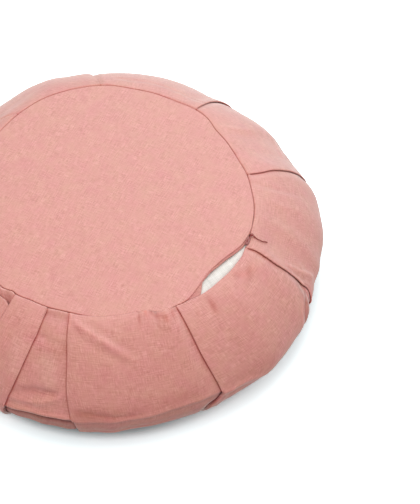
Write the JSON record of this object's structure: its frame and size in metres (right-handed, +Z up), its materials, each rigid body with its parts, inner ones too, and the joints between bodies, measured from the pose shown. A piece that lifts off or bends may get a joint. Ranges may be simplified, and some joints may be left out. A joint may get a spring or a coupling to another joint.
{
  "type": "zafu meditation cushion",
  "caption": "Round floor cushion in a linen cover: crowned top panel, pleated side band, flat underside, and a zip in the top seam, partly open on the filled inner case.",
  "frame": {"origin": "on the floor under the middle of the cushion, in the plane of its flat underside", "axes": "+Z up, +Y to the back of the cushion as pictured, +X to its right, where the zip is open"},
  "size_m": [0.3833, 0.3876, 0.119],
  "materials": {
    "pink_linen": "plain-woven washed linen, dusty pink, matt with a soft sheen at grazing angles",
    "case_cotton": "off-white cotton, plain weave, matt",
    "zip_tape": "woven zip tape, darker pink, matt",
    "zip_enamel": "rose enamel over metal, half gloss, a little worn on the edges",
    "zip_cord": "thin waxed cord, darker pink"
  },
  "bodies": {
    "root": {"inner_cushion": "case_cotton", "top_panel": "pink_linen", "side_band": "pink_linen", "bottom_panel": "pink_linen", "zip_tape": "zip_tape", "zip_slider": "zip_enamel", "zip_pull": "zip_cord"}
  },
  "joints": []
}
